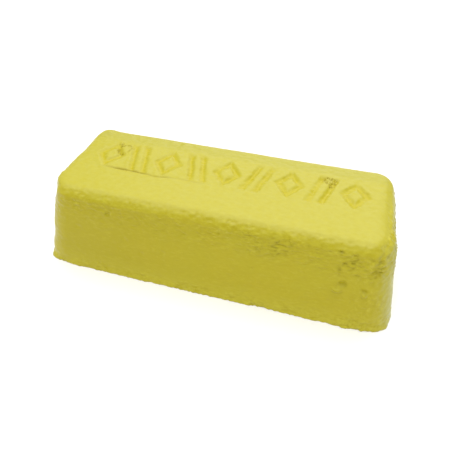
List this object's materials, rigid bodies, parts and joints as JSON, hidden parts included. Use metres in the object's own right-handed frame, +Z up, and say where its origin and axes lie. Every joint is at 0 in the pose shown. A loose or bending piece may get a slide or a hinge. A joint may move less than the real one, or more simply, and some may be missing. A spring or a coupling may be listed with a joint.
{
  "type": "polishing compound bar",
  "caption": "Solid cast bar of wax-bound polishing compound with leaning walls, rounded corners and sunk marks along its top, rubbed on a buffing wheel or pad.",
  "frame": {"origin": "centre of the base, which is the pour face and the largest face", "axes": "+X along the bar, +Y across it from the side nearer the viewer to the far side, +Z up from the base to the marked top face"},
  "size_m": [0.203, 0.082, 0.052],
  "materials": {
    "compound": "matt, waxy, cast"
  },
  "bodies": {
    "root": {"compound_bar": "compound"}
  },
  "joints": []
}
